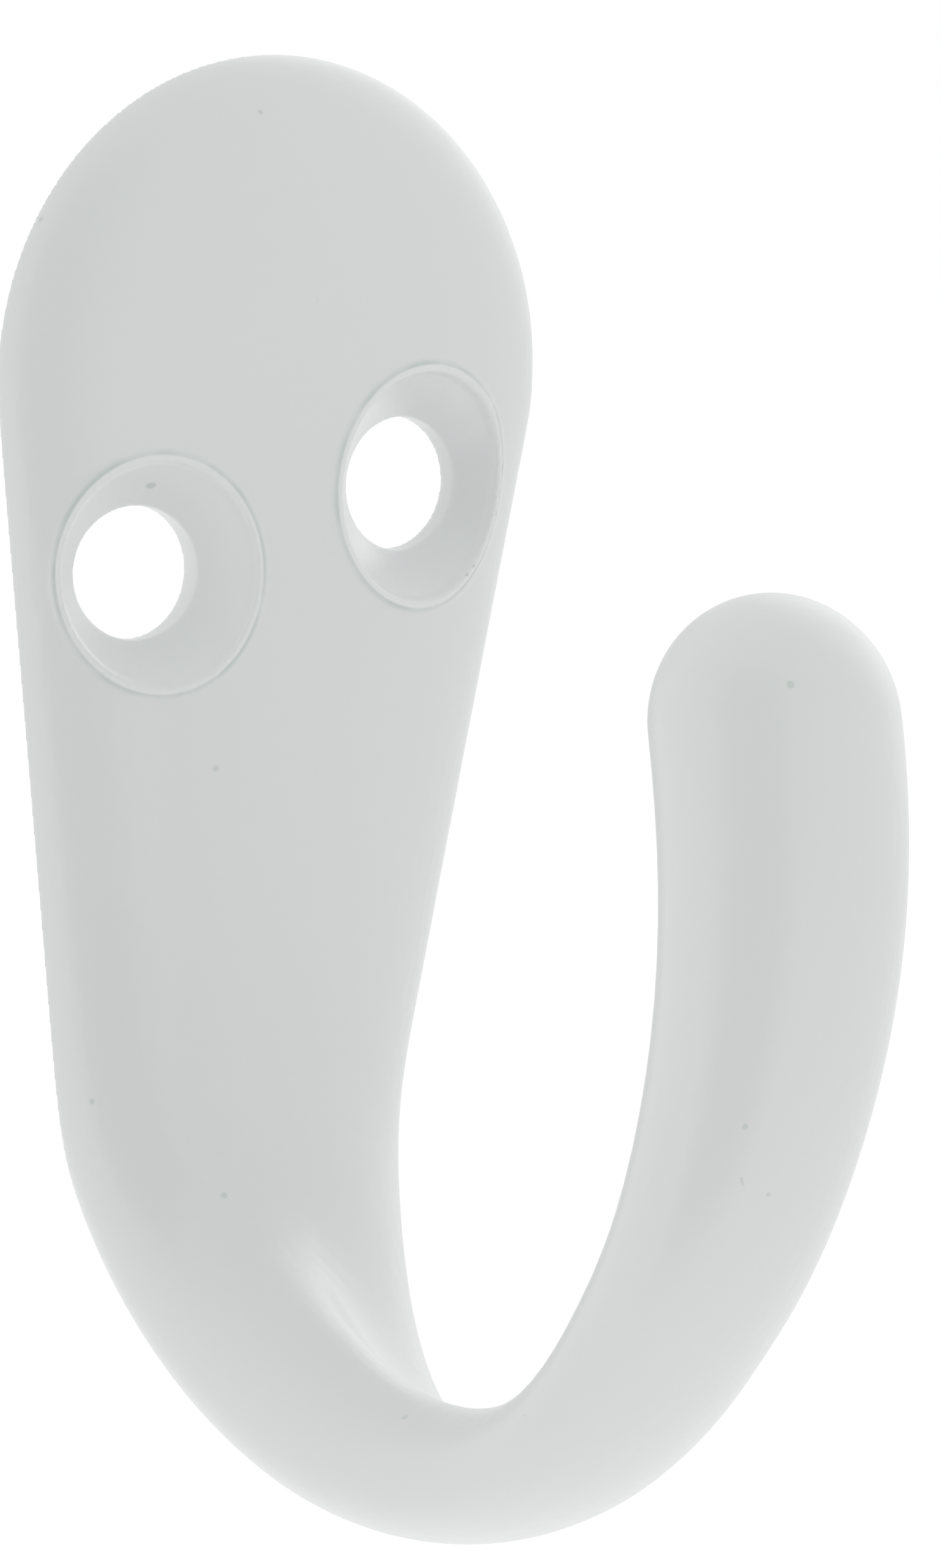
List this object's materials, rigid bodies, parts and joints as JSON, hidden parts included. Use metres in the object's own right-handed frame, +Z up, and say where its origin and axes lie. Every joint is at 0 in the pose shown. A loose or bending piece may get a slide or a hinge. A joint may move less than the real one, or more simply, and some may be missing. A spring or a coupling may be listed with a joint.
{
  "type": "coat hook",
  "caption": "Cast coat hook with a domed, tapered back plate, staggered countersunk screw holes and a J-shaped arm that turns forward and up to a round tip.",
  "frame": {"origin": "on the wall, at the flat back of the plate, half way between the two screw holes", "axes": "+Z up, +Y into the wall, -Y out towards the room, +X to the right as seen from the room"},
  "size_m": [0.019, 0.031, 0.0431],
  "materials": {
    "white_paint": "semi-gloss off-white paint"
  },
  "bodies": {
    "root": {"coat_hook": "white_paint"}
  },
  "joints": []
}
